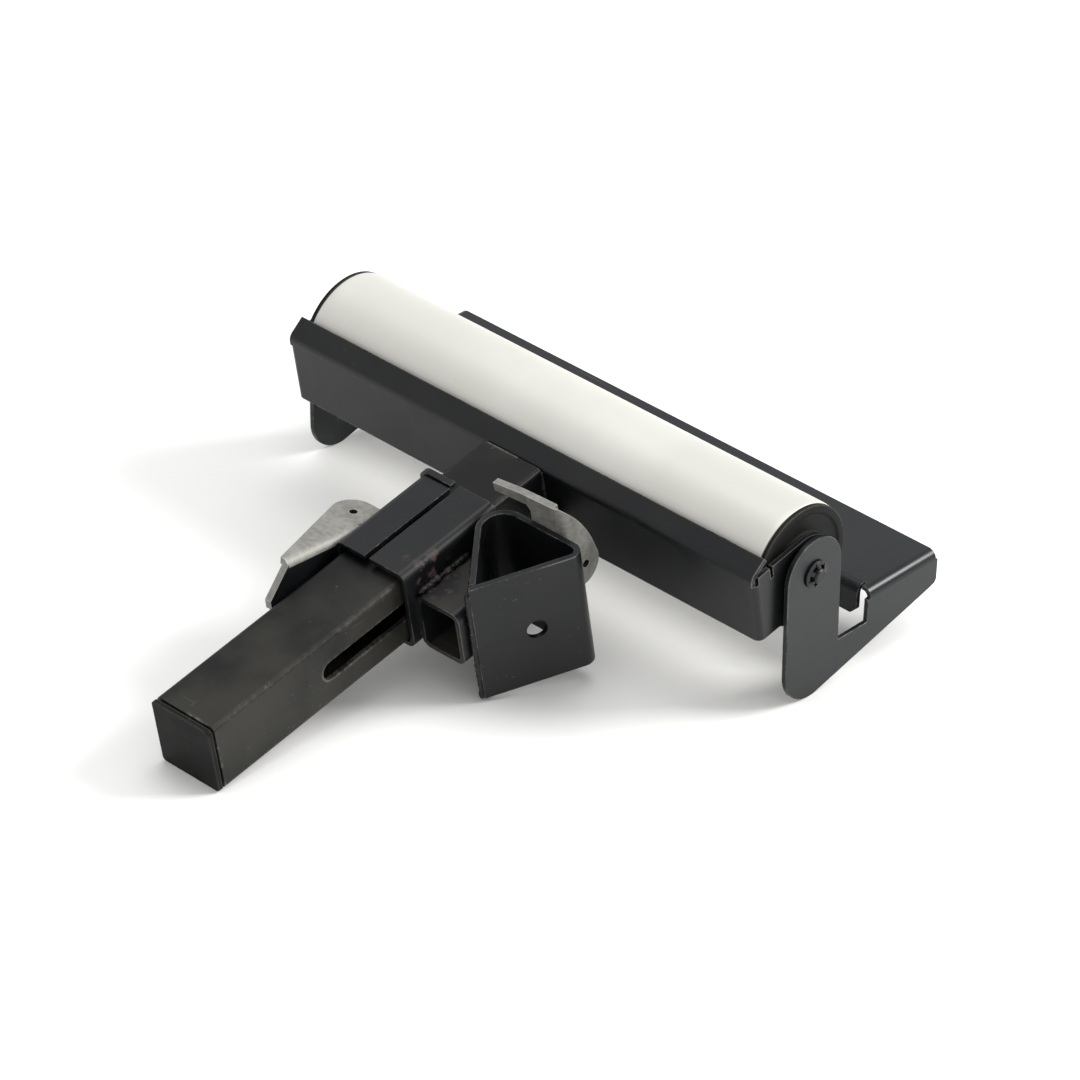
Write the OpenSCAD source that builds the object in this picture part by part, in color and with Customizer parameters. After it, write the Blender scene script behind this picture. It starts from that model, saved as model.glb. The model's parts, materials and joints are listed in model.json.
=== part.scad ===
// Roller support head: a free-running roller between two folded end-plate brackets, on a square
// bar that slides in a short sleeve. The sleeve carries a three-cornered bracket, a catch plate
// and a pivoting lever. Millimetres, +Z up, resting on the floor at Z = 0.
// Origin: the middle of the footprint's bounding box, on the floor. X is the roller's axis,
// and the bar's free end points along -Y.

/* [Roller] */
// outside diameter of the roller tube
roller_d = 50; // [30:1:80]
// length of the roller tube
roller_len = 233; // [120:1:500]
// wall of the roller tube
roller_wall = 2.5; // [1:0.5:5]
// diameter of the axle
axle_d = 6; // [4:0.5:12]
// outside diameter of the end bearings
bearing_d = 19; // [12:1:32]
// width of the end bearings
bearing_w = 6; // [4:1:12]

/* [Sheet brackets] */
// thickness of the bracket sheet
sheet = 2; // [1:0.5:4]
// height of the roller axis above the floor
axle_h = 56; // [40:1:120]
// half-width of the foot bracket over its end plates
foot_x = 125.5; // [70:0.1:260]
// radius of the foot bracket's ears and feet
ear_r = 15; // [8:0.5:30]
// deck top, below the roller axis
deck_drop = 23.5; // [10:0.5:60]
// front edge of the deck, behind the roller axis
deck_front = 33; // [27:0.5:60]
// rear edge of the deck, behind the roller axis
deck_rear = 73; // [50:0.5:140]
// height of the deck's folded front lip
deck_lip = 13.5; // [5:0.5:30]
// half-width of the fork bracket over its ears
fork_x = 121.3; // [65:0.1:250]
// outer face of the fork bracket, in front of the roller axis
fork_y = 28.4; // [20:0.1:60]
// bottom edge of the fork bracket, below the roller axis
fork_drop = 16.2; // [8:0.1:40]
// slope of the fork bracket's folded lip
lip_slope = 30; // [0:1:60]

/* [Bar] */
// outside size of the square bar
bar_w = 30; // [15:1:60]
// wall of the square bar
bar_wall = 2; // [1:0.5:4]
// free end of the bar, in front of the roller axis
bar_reach = 207; // [120:1:500]
// width of the guide slot
slot_w = 8; // [4:0.5:16]
// front end of the guide slot, in front of the roller axis
slot_front = 149.5; // [100:0.5:400]
// rear end of the guide slot, in front of the roller axis
slot_rear = 76; // [60:0.5:300]

/* [Sleeve] */
// outside width of the sleeve
sleeve_w = 36; // [20:0.5:70]
// top of the sleeve, above the bar's centre line
sleeve_top = 19; // [10:0.5:40]
// bottom of the sleeve, below the bar's centre line
sleeve_low = 17.5; // [10:0.5:40]
// front end of the sleeve, in front of the roller axis
sleeve_front = 106.5; // [60:0.5:300]
// length of the sleeve
sleeve_len = 50; // [20:1:150]
// width of the spacer tube, from the sleeve to its far wall
spacer_w = 22; // [15:1:50]
// height of the spacer tube
spacer_h = 25; // [15:1:50]

/* [Corner bracket] */
// bottom of the corner bracket, below the bar's centre line
corner_low = 35.5; // [10:0.5:80]
// thickness of the corner bracket's strip
corner_t = 2.5; // [1:0.5:5]
// outside radius of the corner bracket's bend against the spacer tube
corner_bend = 10; // [3:0.5:15]
// outside radius of the corner bracket's far bend
corner_far_bend = 5; // [3:0.5:15]
// diameter of the fixing hole in the corner bracket
corner_hole = 8.2; // [3:0.1:14]

/* [Bare plates] */
// thickness of the catch plate and the lever
plate_t = 3; // [1.5:0.5:6]
// radius of their round ends
lobe_r = 9; // [5:0.5:16]
// diameter of the holes in their round ends
tag_hole = 3.3; // [2:0.1:8]
// height of the catch plate, above the bar's centre line
catch_top = 30.5; // [20:0.5:60]
// slope of the lever against the bar
lever_slope = 14.8; // [0:0.1:45]

/* [Hidden] */
$fn = 64;

past = 1;                       // how far a cutter runs past the face it cuts
fit = 0.05;                     // radial clearance of a running fit
gap = 0.3;                      // smallest gap between pieces that move apart
bend_out = 2 * sheet;           // outside radius of a sheet fold
bend_in = bend_out - sheet;
roller_r = roller_d / 2;
bore_r = roller_r - roller_wall;
axle_r = axle_d / 2;
bar_h = bar_w / 2;
half_roller = roller_len / 2;

// attitude: the bar's lower front edge and the feet stand on the floor
bar_tilt = asin(axle_h / norm([bar_reach, bar_h])) - atan(bar_h / bar_reach);
front_y = -bar_reach * cos(bar_tilt) - bar_h * sin(bar_tilt);
arm_y = deck_rear + 1;          // rear end of the foot bracket's arms
mid_y = (front_y + arm_y) / 2;

// axle stack, from the roller out
cap_t = 2;
cap_x = half_roller + cap_t;
race_r = 4.75;
race_x = cap_x - 0.5;           // outer face of the bearing
lock_x = foot_x + gap;
lock_t = 0.7;
lock_r = 5.7;
axle_x = foot_x + 3.3;

// corner bracket, plan of its outer faces
corner_a = [43, -98];
corner_b = [7.5, -54.5];
corner_c = [65.5, -54.5];

bar_r = 2;                      // outside corner radius of the bar
wall = bar_wall;
fork_end = fork_x - 1;          // half-length of the fork bracket's lip
fork_top = 14.5;                // top of its end folds
corner_r = 3;                   // outside radius of its end folds
fork_ear = 14;                  // top of its ears
guide_y = -85;
guide_r = 3;
lever_pivot = [-87, 0];         // lever's rivet, along the bar and up
lever_hole_x = 28.2;
lever_fold = 13;                // fold line above the rivet
lever_tip = 47.2;               // length of the fold in front of the rivet
catch_x = 50.8;
catch_back = 16;                // width of the catch plate against the corner bracket

// frames ---------------------------------------------------------------------------------------
module foot_frame() translate([0, -mid_y, axle_h]) children();
module bar_frame() foot_frame() rotate([bar_tilt, 0, 0]) children();

// a drawing in Y and Z, made thick along +X
module along_x(x, length) translate([x, 0, 0]) rotate([90, 0, 90]) linear_extrude(length)
    children();
// a drawing in X and Z, made thick along +Y
module along_y(y, length) translate([0, y + length, 0]) rotate([90, 0, 0])
    linear_extrude(length) children();
module rod(x0, x1, r) translate([x0, 0, 0]) rotate([0, 90, 0]) cylinder(h = x1 - x0, r = r);
module ring(x0, x1, r_out, r_in) difference() {
    rod(x0, x1, r_out);
    rod(x0 - past, x1 + past, r_in);
}
module both_sides() for (side = [0, 1]) mirror([side, 0, 0]) children();
module on_side(side) if (side > 0) children(); else mirror([1, 0, 0]) children();

// a rectangle with round corners, from its low corner to its high one
module soft_box(low, high, r) {
    translate([low.x + r, low.y]) square([high.x - low.x - 2 * r, high.y - low.y]);
    translate([low.x, low.y + r]) square([high.x - low.x, high.y - low.y - 2 * r]);
    for (x = [low.x + r, high.x - r], y = [low.y + r, high.y - r])
        translate([x, y]) circle(r);
}
module square_pipe(low, high, r, t) difference() {
    soft_box(low, high, r);
    soft_box(low + [t, t], high - [t, t], max(r - t, 0.5));
}
// a quarter of a fold in a drawing; sx and sy point out of the bend
module fold(centre, r_out, r_in, sx, sy) translate(centre) intersection() {
    difference() {
        circle(r_out);
        circle(r_in);
    }
    scale([sx, sy]) square(r_out + past);
}

// point where a line from p touches a circle; side is 1 or -1
function touch(c, r, p, side) =
    let (d = p - c, turn = atan2(d.y, d.x) + side * acos(r / norm(d)))
    c + r * [cos(turn), sin(turn)];
function unit(v) = v / norm(v);
function left_of(v) = [-v.y, v.x];

// roller ---------------------------------------------------------------------------------------
module roller_tube() color("#e4e2dc") foot_frame()
    ring(-half_roller, half_roller, roller_r, bore_r);

module roller_cap() {
    skirt = 12;
    skirt_t = 2;
    hub_r = bearing_d / 2 + 2.5;
    shoulder = race_x - bearing_w;
    ring(half_roller, cap_x, roller_r - 0.3, bearing_d / 2);
    ring(half_roller - skirt, half_roller, bore_r, bore_r - skirt_t);
    ring(shoulder - cap_t, half_roller, hub_r, bearing_d / 2);
    ring(shoulder - cap_t, shoulder, bearing_d / 2, bearing_d / 2 - 2);
}
module cap_left() color("#1d1e20") foot_frame() on_side(-1) roller_cap();
module cap_right() color("#1d1e20") foot_frame() on_side(1) roller_cap();

module bearing() ring(race_x - bearing_w, race_x, bearing_d / 2, race_r + fit);
module bearing_left() color("#9a9c9e") foot_frame() on_side(-1) bearing();
module bearing_right() color("#9a9c9e") foot_frame() on_side(1) bearing();
module race() ring(race_x - bearing_w, race_x, race_r, axle_r);
module race_left() color("#8a8c8e") foot_frame() on_side(-1) race();
module race_right() color("#8a8c8e") foot_frame() on_side(1) race();
module spacer() ring(race_x, fork_x - sheet, race_r, axle_r);
module spacer_left() color("#b0b0ac") foot_frame() on_side(-1) spacer();
module spacer_right() color("#b0b0ac") foot_frame() on_side(1) spacer();

// axle -----------------------------------------------------------------------------------------
module axle() color("#3a3b3d") foot_frame() {
    chamfer = 0.6;
    rod(-axle_x + chamfer, axle_x - chamfer, axle_r);
    both_sides() translate([axle_x - chamfer, 0, 0]) rotate([0, 90, 0])
        cylinder(h = chamfer, r1 = axle_r, r2 = axle_r - chamfer);
}
module lock() {
    crown_h = 1.4;
    crown_r = 4.2;
    prongs = 6;
    slit = 0.8;
    difference() {
        union() {
            ring(lock_x, lock_x + lock_t, lock_r, axle_r);
            ring(lock_x, lock_x + lock_t + crown_h, crown_r, axle_r);
        }
        for (i = [0 : prongs - 1]) rotate([i * 360 / prongs, 0, 0])
            translate([lock_x + lock_t, (axle_r + 0.2) / 2, -slit / 2])
                cube([crown_h + past, lock_r, slit]);
    }
}
module lock_left() color("#222326") foot_frame() on_side(-1) lock();
module lock_right() color("#222326") foot_frame() on_side(1) lock();
module washer() ring(fork_x, foot_x - sheet - gap, lock_r + 1, axle_r);
module washer_left() color("#2a2b2d") foot_frame() on_side(-1) washer();
module washer_right() color("#2a2b2d") foot_frame() on_side(1) washer();

// foot bracket: deck, front lip and two plumb end plates ---------------------------------------
module end_plate() {
    lean = 2.2;                             // angle of the leg from plumb
    leg = (axle_h - ear_r) / cos(lean);
    foot = leg * [sin(lean), -cos(lean)];   // centre of the foot, along Y and up
    notch_low = -37.4;
    arm_top = -deck_drop - bend_out;
    heel = [arm_y - 4, -39.1];
    toe = touch(foot, ear_r - 0.05, heel, -1);
    difference() {
        union() {
            rotate([lean, 0, 0]) {
                rod(0, sheet, ear_r);
                translate([0, 0, -leg]) rod(0, sheet, ear_r);
                translate([0, -ear_r, -leg]) cube([sheet, 2 * ear_r, leg]);
            }
            along_x(0, sheet) polygon([foot, toe, heel, [arm_y - 1, heel.y + 1],
                [arm_y, heel.y + 2.5], [arm_y, arm_top], [deck_front, arm_top],
                [deck_front, notch_low], [foot.x, notch_low]]);
        }
        rod(-past, sheet + past, axle_r + fit);
    }
}
module rear_bracket() color("#3b3d40") foot_frame() {
    relief = 1.5;                           // corner cut between lip and end plates
    fold_x = foot_x - bend_out;
    lip_x = fold_x - relief;
    lip_chamfer = 3;
    lip_low = -deck_drop - deck_lip;
    side_y = deck_front + relief;
    flat_y = deck_front + bend_out;
    both_sides() {
        translate([foot_x - sheet, 0, 0]) end_plate();
        along_y(side_y, deck_rear - side_y)
            fold([fold_x, -deck_drop - bend_out], bend_out, bend_in, 1, 1);
        translate([lip_x + relief / 2, side_y, -deck_drop - sheet])
            cube([fold_x - lip_x - relief / 2, flat_y - side_y, sheet]);
    }
    translate([-fold_x, flat_y, -deck_drop - sheet])
        cube([2 * fold_x, deck_rear - flat_y, sheet]);
    along_x(-lip_x, 2 * lip_x)
        fold([flat_y, -deck_drop - bend_out], bend_out, bend_in, -1, 1);
    along_y(deck_front, sheet) polygon([
        [-lip_x, -deck_drop - bend_out], [lip_x, -deck_drop - bend_out],
        [lip_x, lip_low + lip_chamfer], [lip_x - lip_chamfer, lip_low],
        [-lip_x + lip_chamfer, lip_low], [-lip_x, lip_low + lip_chamfer]]);
}

// fork bracket: front plate, sloping lip and two ears ------------------------------------------
module fork_section() {
    fold_z = 12.26;                         // where the plate starts to bend
    lip_len = 7.16;
    along = [cos(lip_slope), sin(lip_slope)];
    up = left_of(along);
    c = [-fork_y + bend_out, fold_z];
    difference() {
        union() {
            polygon([[-fork_y, -fork_drop], [-fork_y, fold_z], c + bend_out * up,
                c + bend_out * up + lip_len * along, c + lip_len * along, c,
                [c.x, -fork_drop]]);
            translate(c) circle(bend_out);
        }
        polygon([[-fork_y + sheet, -fork_drop - past], [-fork_y + sheet, fold_z],
            c + bend_in * up, c + bend_in * up + (lip_len + past) * along,
            c - past * up + (lip_len + past) * along, [0, -fork_drop - past]]);
        translate(c) circle(bend_in);
    }
}
module fork_ear_plate() {
    slit_y = -19;
    slit_w = 1.5;
    slit_low = 9;
    round_r = (fork_drop + fork_ear) / 2;
    round_z = (fork_ear - fork_drop) / 2;
    difference() {
        union() {
            translate([0, 0, round_z]) rod(0, sheet, round_r);
            translate([0, -fork_y + corner_r, -fork_drop])
                cube([sheet, fork_y - corner_r, fork_drop + fork_ear]);
        }
        rod(-past, sheet + past, axle_r);
        translate([-past, slit_y, slit_low]) cube([sheet + 2 * past, slit_w, fork_top]);
    }
}
module front_bracket() color("#34363a") bar_frame() {
    flat_x = fork_x - corner_r;
    along_x(-flat_x, 2 * flat_x) intersection() {
        fork_section();
        translate([-2 * fork_y, -fork_y]) square([2 * fork_y, fork_y + fork_top - bend_out]);
    }
    along_x(-fork_end, 2 * fork_end) intersection() {
        fork_section();
        translate([-2 * fork_y, fork_top - bend_out]) square(2 * fork_y);
    }
    both_sides() {
        translate([fork_x - sheet, 0, 0]) fork_ear_plate();
        translate([0, 0, -fork_drop]) linear_extrude(fork_drop + fork_top - bend_out)
            fold([flat_x, -fork_y + corner_r], corner_r, corner_r - sheet, 1, -1);
    }
}

// square bar -----------------------------------------------------------------------------------
module square_bar() color("#3e4043") bar_frame() {
    head = 3;
    length = bar_reach - head - fork_y;
    slot_r = slot_w / 2;
    difference() {
        along_y(-bar_reach + head, length)
            square_pipe([-bar_h, -bar_h], [bar_h, bar_h], bar_r, wall);
        for (y = [-slot_front + slot_r, -slot_rear - slot_r])
            translate([0, y, 0]) rod(bar_h - wall - past, bar_h + past, slot_r);
        translate([bar_h - wall - past, -slot_front + slot_r, -slot_r])
            cube([wall + 2 * past, slot_front - slot_rear - slot_w, slot_w]);
    }
}
module bar_plug() color("#26272a") bar_frame() {
    head = 3;
    tongue = 14;
    inside = bar_h - wall;
    along_y(-bar_reach, head) soft_box([-bar_h, -bar_h], [bar_h, bar_h], bar_r);
    along_y(-bar_reach + head, tongue) square_pipe([-inside, -inside], [inside, inside], 0.8, 2);
}

// sleeve ---------------------------------------------------------------------------------------
seam_x = -2.4;                  // left edge of the open seam
seam_w = 2.2;
strap_w = 3;
strap_gap = 0.3;
module sleeve_ring(grow) square_pipe([-sleeve_w / 2 - grow, -sleeve_low - grow],
    [sleeve_w / 2 + grow, sleeve_top + grow], bend_out, sheet);
module sleeve() color("#404245") bar_frame() difference() {
    inner_x = sleeve_w / 2 - sheet;
    along_y(-sleeve_front, sleeve_len) sleeve_ring(0);
    translate([seam_x, -sleeve_front - past, 0])
        cube([seam_w, sleeve_len + 2 * past, 2 * sleeve_top]);
    translate([-sleeve_w, -sleeve_front + sleeve_len - strap_w - strap_gap, -sleeve_low / 2])
        cube([sleeve_w + seam_x + past, strap_w + strap_gap + past, 2 * sleeve_top]);
    translate([0, guide_y, 0]) rod(inner_x - past, sleeve_w, guide_r);
    translate([0, lever_pivot.x, lever_pivot.y]) rod(-sleeve_w, -inner_x + past, guide_r);
}
module rear_strap() color("#44464a") bar_frame() intersection() {
    along_y(-sleeve_front + sleeve_len - strap_w, strap_w) sleeve_ring(1);
    translate([-sleeve_w, -sleeve_front, -sleeve_low / 2 + strap_gap])
        cube([sleeve_w + seam_x, sleeve_len + past, 2 * sleeve_top]);
}

// spacer tube: cut back to the corner bracket's slanting wall
module spacer_tube() color("#3c3e41") bar_frame() difference() {
    x0 = sleeve_w / 2;
    front = 102.3;
    head_room = 7;
    slope = unit(corner_a - corner_b);
    reach = 3 * spacer_w;
    far_b = corner_b - reach * slope;
    far_a = corner_a + reach * slope;
    out = left_of(slope);
    translate([0, -front, 0]) along_y(0, 2 * spacer_w)
        square_pipe([x0, -sleeve_low], [x0 + spacer_w, -sleeve_low + spacer_h], bend_out, sheet);
    translate([0, 0, -corner_low]) linear_extrude(2 * corner_low)
        polygon([far_b, far_a, far_a + reach * out, far_b + reach * out]);
    translate([0, guide_y, 0]) rod(x0 - past, x0 + sheet + past, head_room);
}

// corner bracket -------------------------------------------------------------------------------
// block within the corner bracket, t inside its outer faces and longer by t above and below
module corner_block(t) {
    r_b = corner_bend - t;
    r_c = corner_far_bend - t;
    ab = unit(corner_b - corner_a);
    bc = unit(corner_c - corner_b);
    ca = unit(corner_a - corner_c);
    b = inset(corner_b, -ab, bc, corner_bend);
    c = inset(corner_c, -bc, ca, corner_far_bend);
    h = corner_low + sleeve_top + 2 * t;
    translate([0, 0, -corner_low - t]) {
        linear_extrude(h) polygon([inset(corner_a, ab, -ca, t), b + r_b * left_of(ab),
            b + r_b * left_of(bc), c + r_c * left_of(bc), c + r_c * left_of(ca)]);
        translate(b) cylinder(h = h, r = r_b);
        translate(c) cylinder(h = h, r = r_c);
    }
}
// the point t inside a corner v whose sides run along u and w
function inset(v, u, w, t) = v + unit(u + w) * t / sin(acos(u * w) / 2);
module corner_bracket() color("#3a3c40") bar_frame() {
    ca = unit(corner_a - corner_c);
    slit = 0.4;
    reach = 12;
    hole_at = corner_a - 24 * ca;
    hole_z = -9.8;
    inner_a = corner_a - left_of(ca) * corner_t;
    difference() {
        corner_block(0);
        corner_block(corner_t);
        translate([0, 0, -2 * corner_low]) linear_extrude(4 * corner_low)
            polygon([inner_a + reach * ca, inner_a - reach * ca,
                inner_a - reach * ca - slit * left_of(ca),
                inner_a + reach * ca - slit * left_of(ca)]);
        translate([hole_at.x, hole_at.y, hole_z]) rotate([90, 0, atan2(ca.y, ca.x)])
            cylinder(h = 3 * corner_t, r = corner_hole / 2, center = true);
    }
}

// catch plate: flat on the corner bracket's back wall, bent back into a round-ended tag --------
module catch_plate() color("#c2beb4") bar_frame() {
    face_y = corner_b.y;
    bend_r = plate_t + 1;
    tag = [-47, -1.7];                      // middle of the round end, along the bar and up
    tag_hole_at = [-45, -1.7];
    back_r = 60;                            // curve of the tag's back edge
    back_at = [-97.42, -10.53];
    flat_x = catch_x - bend_r;
    top_y = face_y + bend_r;
    finger_x = 16;
    finger_h = 3.6;
    root_x = flat_x + bend_r - catch_back;
    along_y(face_y, plate_t) polygon([[flat_x, tag.y], [flat_x, catch_top],
        [root_x - 4.5, catch_top - 0.8], [finger_x, catch_top - 2.8],
        [finger_x + 0.6, catch_top - 2.8 - finger_h], [root_x - 2, catch_top - finger_h - 1.5],
        [root_x, catch_top - finger_h - 3.5], [root_x, tag.y + 3], [root_x + 3, tag.y]]);
    difference() {
        union() {
            intersection() {
                translate([0, tag.x, tag.y]) rod(catch_x - plate_t, catch_x, lobe_r);
                translate([catch_x - plate_t - past, top_y, tag.y - 2 * lobe_r])
                    cube([plate_t + 2 * past, 3 * lobe_r, 4 * lobe_r]);
            }
            intersection() {
                union() {
                    translate([0, 0, tag.y]) linear_extrude(catch_top - tag.y)
                        fold([flat_x, top_y], bend_r, bend_r - plate_t, 1, -1);
                    along_x(catch_x - plate_t, plate_t) translate([top_y, tag.y])
                        square([2 * lobe_r, catch_top - tag.y]);
                }
                translate([0, back_at.x, back_at.y]) rod(flat_x - past, catch_x + past, back_r);
            }
        }
        translate([0, tag_hole_at.x, tag_hole_at.y])
            rod(catch_x - plate_t - past, catch_x + past, tag_hole / 2);
    }
}

// guide bolt, clamped through the sleeve's wall, with its nut inside the bar --------------------
guide_head = 4;
guide_washer_t = 1.2;
module guide_bolt() color("#7d7f82") bar_frame() translate([0, guide_y, 0]) {
    head_x = sleeve_w / 2 + guide_washer_t;
    across = 10;
    rod(bar_h - wall - 6, head_x, guide_r);
    translate([head_x, 0, 0]) rotate([0, 90, 0])
        cylinder(h = guide_head, r = across / sqrt(3), $fn = 6);
}
module guide_washer() color("#8d8f92") bar_frame() translate([0, guide_y, 0])
    ring(sleeve_w / 2, sleeve_w / 2 + guide_washer_t, 6, guide_r);
module guide_nut() color("#7d7f82") bar_frame() translate([0, guide_y, 0]) {
    nut_w = 10;
    nut_t = 5;
    inner = bar_h - wall - gap;
    difference() {
        translate([inner - nut_t, -nut_w / 2, -nut_w / 2]) cube([nut_t, nut_w, nut_w]);
        rod(inner - nut_t - past, inner + past, guide_r);
    }
}

// lever: pivots on a rivet in the sleeve's left wall --------------------------------------------
lever_x = sleeve_w / 2 + gap;   // inner face of the lever
module lever_rivet() color("#a5a5a2") bar_frame()
    translate([0, lever_pivot.x, lever_pivot.y]) on_side(-1) {
        face = lever_x + plate_t + gap;
        rod(sleeve_w / 2 - sheet, face + 0.8, guide_r);
        translate([face + 0.8, 0, 0]) rotate([0, 90, 0]) cylinder(h = 2.6, r1 = 5.5, r2 = 3.5);
    }
module lever_washer() color("#b4b4b0") bar_frame()
    translate([0, lever_pivot.x, lever_pivot.y]) on_side(-1)
        ring(lever_x + plate_t + gap, lever_x + plate_t + gap + 0.8, 6.5, guide_r);
module lever() color("#c6c2b8") bar_frame()
    translate([0, lever_pivot.x, lever_pivot.y]) rotate([-lever_slope, 0, 0]) {
        out = lever_x + plate_t;            // outer face of the upright plate
        bend_r = plate_t + 1;
        top = lever_fold;
        tip = -lever_tip;
        flat_z = top - bend_r;
        hole = [-lever_hole_x, -3.3];
        difference() {
            union() {
                rod(-out, -lever_x, lobe_r);
                along_x(-out, plate_t) polygon([[0, 0], [lobe_r, 0], [lobe_r, flat_z],
                    [tip, flat_z], [tip, top - 1.5], [tip - 8.8, top - 14.4],
                    [tip - 7.8, top - 18.3], [tip - 3.5, top - 20.5],
                    touch([0, 0], lobe_r, [tip - 3.5, top - 20.5], 1)]);
                translate([0, tip, 0]) along_y(0, lobe_r - tip)
                    fold([-lever_x - bend_r, flat_z], bend_r, bend_r - plate_t, 1, 1);
            }
            rod(-out - past, -lever_x + past, guide_r + fit);
        }
        translate([0, 0, top - plate_t]) difference() {
            linear_extrude(plate_t) {
                translate(hole) circle(lobe_r);
                polygon([[-lever_x - bend_r, lobe_r + hole.y], [hole.x, lobe_r + hole.y], hole,
                    touch(hole, lobe_r, [-lever_x - bend_r - 0.5, tip], -1),
                    [-lever_x - bend_r - 0.5, tip], [-lever_x - bend_r, tip]]);
            }
            translate([hole.x, hole.y, -past])
                cylinder(h = plate_t + 2 * past, r = tag_hole / 2);
        }
    }

front_bracket();
square_bar();
bar_plug();
axle();
lock_left();
lock_right();
washer_left();
washer_right();
race_left();
race_right();
spacer_left();
spacer_right();
roller_tube();
cap_left();
cap_right();
bearing_left();
bearing_right();
rear_bracket();
sleeve();
rear_strap();
spacer_tube();
corner_bracket();
catch_plate();
guide_bolt();
guide_washer();
guide_nut();
lever_rivet();
lever_washer();
lever();
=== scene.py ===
"""Roller support head: the looks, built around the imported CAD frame.

A free-running roller sits between folded end brackets on a square bar. A sleeve slides on the bar
and carries a corner bracket, a catch plate and a lever. Lengths in the fields are millimetres,
except in the finishes, the lights and the floor, which use metres.
"""

import json
import logging
import math
import random
from collections.abc import Sequence
from dataclasses import dataclass, field
from enum import Enum

import bmesh
import bpy
from mathutils import Matrix, Vector


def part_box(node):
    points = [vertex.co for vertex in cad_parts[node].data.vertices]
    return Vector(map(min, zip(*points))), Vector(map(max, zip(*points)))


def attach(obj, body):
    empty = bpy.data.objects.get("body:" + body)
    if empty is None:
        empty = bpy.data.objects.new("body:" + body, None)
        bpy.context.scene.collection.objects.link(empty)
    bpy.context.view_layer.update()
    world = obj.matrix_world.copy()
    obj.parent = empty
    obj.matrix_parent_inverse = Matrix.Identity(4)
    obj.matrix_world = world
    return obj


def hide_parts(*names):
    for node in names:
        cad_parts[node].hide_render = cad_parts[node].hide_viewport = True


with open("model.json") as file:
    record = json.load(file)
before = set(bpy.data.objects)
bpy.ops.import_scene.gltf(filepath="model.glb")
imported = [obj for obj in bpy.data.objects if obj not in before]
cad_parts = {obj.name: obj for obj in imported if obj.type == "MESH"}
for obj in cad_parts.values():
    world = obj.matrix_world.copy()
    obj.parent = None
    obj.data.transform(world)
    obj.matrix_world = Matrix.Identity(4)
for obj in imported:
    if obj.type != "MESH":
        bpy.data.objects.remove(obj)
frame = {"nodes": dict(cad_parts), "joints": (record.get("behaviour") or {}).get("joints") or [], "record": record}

MM = 0.001
SEED = 11
TURN = 2 * math.pi
MERGE = 2e-6  # metres: vertices of a CAD mesh closer than this are one
FLAT = math.radians(0.6)  # edges flatter than this are dissolved
SHARP = math.radians(35)  # edges sharper than this are broken
SPIN_MERGE = 1e-4  # millimetres: vertices of a lathed shape closer than this are one
SKIN_ANGLE = 38.0  # degrees: a softened piece shades smoothly up to this angle
BEAD_ANGLE = 80.0  # degrees: a weld bead shades smoothly up to this angle
LOG = logging.getLogger("roller_head")

Colour = tuple[float, float, float]


class Side(Enum):
    """The two ends of the roller."""

    LEFT = -1
    RIGHT = 1

    @property
    def word(self) -> str:
        """The side's name in node names."""
        return self.name.lower()


class Slot(Enum):
    """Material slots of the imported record."""

    PAINT = "black_paint"
    ROLLER = "roller_shell"
    PLASTIC = "black_plastic"
    DARK = "dark_steel"
    BEARING = "bearing_steel"
    PLATE = "bare_plate"
    ZINC = "zinc_steel"


class Look(Enum):
    """The finishes by short name."""

    PAINT = "paint"
    FORK = "fork"
    FOOT = "foot"
    BAR = "bar"
    SLEEVE = "sleeve"
    SPACER = "spacer"
    WELD = "weld"
    BURNT = "burnt"
    ROLLER = "roller"
    PLASTIC = "plastic"
    PLATE = "plate"
    BORE = "bore"
    DARK = "dark"
    BEARING = "bearing"
    ZINC = "zinc"
    FLOOR = "floor"


class Area(Enum):
    """The areas of a softened piece, as places in its list of finishes."""

    BORE = 1
    MASKED = 2


# --- shader helpers ---------------------------------------------------------------------------


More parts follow.
